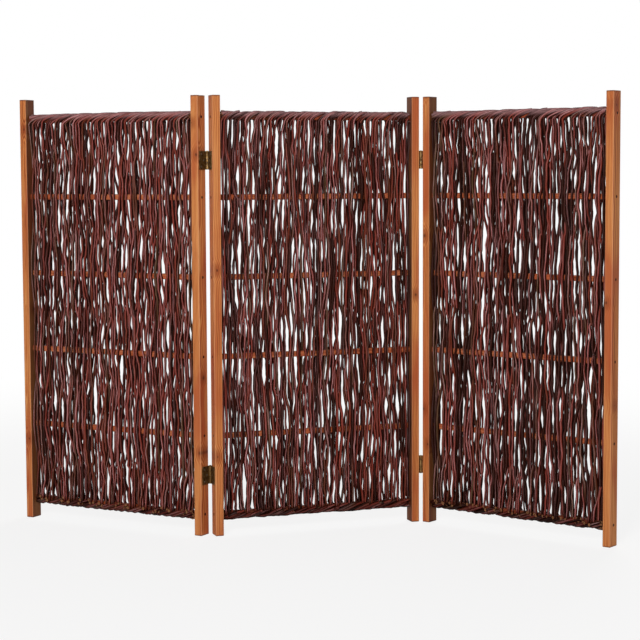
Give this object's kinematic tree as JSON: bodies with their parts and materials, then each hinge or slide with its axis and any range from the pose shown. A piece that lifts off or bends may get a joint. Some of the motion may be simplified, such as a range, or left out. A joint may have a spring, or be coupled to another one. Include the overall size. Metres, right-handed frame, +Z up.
{
  "type": "folding screen",
  "caption": "Free-standing folding screen: hinged panels of upright willow rods woven in and out of cross rails between stained pine posts, standing in a zigzag.",
  "frame": {"origin": "on the floor, in the middle of the standing screen's box as seen from above", "axes": "+X along the screen's spread, to the right of someone facing its front; +Y away from that person; +Z up"},
  "size_m": [1.6352, 0.5016, 1.2],
  "materials": {
    "stained_pine": "planed pine with an orange-brown stain, satin",
    "stained_pine_rail": "planed pine batten with an orange-brown stain, satin",
    "willow": "unpeeled willow bark, dark red-brown, low gloss",
    "hinge_brass": "brassed steel, dulled",
    "screw_steel": "zinc plated, dulled"
  },
  "bodies": {
    "left_panel": {"left_panel_left_post": "stained_pine", "left_panel_right_post": "stained_pine", "left_panel_rail_1": "stained_pine_rail", "left_panel_rail_2": "stained_pine_rail", "left_panel_rail_3": "stained_pine_rail", "left_panel_rail_4": "stained_pine_rail", "left_panel_rail_5": "stained_pine_rail", "left_panel_rail_6": "stained_pine_rail", "left_panel_left_willow_rods": "willow", "left_panel_middle_willow_rods": "willow", "left_panel_right_willow_rods": "willow", "left_panel_left_rail_screws": "screw_steel", "left_panel_right_rail_screws": "screw_steel", "left_upper_hinge_outer_leaf": "hinge_brass", "left_upper_hinge_outer_screws": "screw_steel", "left_lower_hinge_outer_leaf": "hinge_brass", "left_lower_hinge_outer_screws": "screw_steel"},
    "centre_panel": {"centre_panel_left_post": "stained_pine", "centre_panel_right_post": "stained_pine", "centre_panel_rail_1": "stained_pine_rail", "centre_panel_rail_2": "stained_pine_rail", "centre_panel_rail_3": "stained_pine_rail", "centre_panel_rail_4": "stained_pine_rail", "centre_panel_rail_5": "stained_pine_rail", "centre_panel_rail_6": "stained_pine_rail", "centre_panel_left_willow_rods": "willow", "centre_panel_middle_willow_rods": "willow", "centre_panel_right_willow_rods": "willow", "centre_panel_left_rail_screws": "screw_steel", "centre_panel_right_rail_screws": "screw_steel", "left_upper_hinge_inner_leaf": "hinge_brass", "left_upper_hinge_inner_screws": "screw_steel", "left_upper_hinge_pin": "hinge_brass", "left_lower_hinge_inner_leaf": "hinge_brass", "left_lower_hinge_inner_screws": "screw_steel", "left_lower_hinge_pin": "hinge_brass", "right_upper_hinge_inner_leaf": "hinge_brass", "right_upper_hinge_inner_screws": "screw_steel", "right_upper_hinge_pin": "hinge_brass", "right_lower_hinge_inner_leaf": "hinge_brass", "right_lower_hinge_inner_screws": "screw_steel", "right_lower_hinge_pin": "hinge_brass"},
    "right_panel": {"right_panel_left_post": "stained_pine", "right_panel_right_post": "stained_pine", "right_panel_rail_1": "stained_pine_rail", "right_panel_rail_2": "stained_pine_rail", "right_panel_rail_3": "stained_pine_rail", "right_panel_rail_4": "stained_pine_rail", "right_panel_rail_5": "stained_pine_rail", "right_panel_rail_6": "stained_pine_rail", "right_panel_left_willow_rods": "willow", "right_panel_middle_willow_rods": "willow", "right_panel_right_willow_rods": "willow", "right_panel_left_rail_screws": "screw_steel", "right_panel_right_rail_screws": "screw_steel", "right_upper_hinge_outer_leaf": "hinge_brass", "right_upper_hinge_outer_screws": "screw_steel", "right_lower_hinge_outer_leaf": "hinge_brass", "right_lower_hinge_outer_screws": "screw_steel"}
  },
  "joints": [
    {"name": "left_fold", "type": "hinge", "parent": "centre_panel", "child": "left_panel", "pos_m": [-0.27057, -0.03732, 0.165], "axis": [0, 0, -1], "range_deg": [-48, 132]},
    {"name": "right_fold", "type": "hinge", "parent": "centre_panel", "child": "right_panel", "pos_m": [0.31739, 0.11648, 0.165], "axis": [0, 0, -1], "range_deg": [-57, 123]}
  ]
}
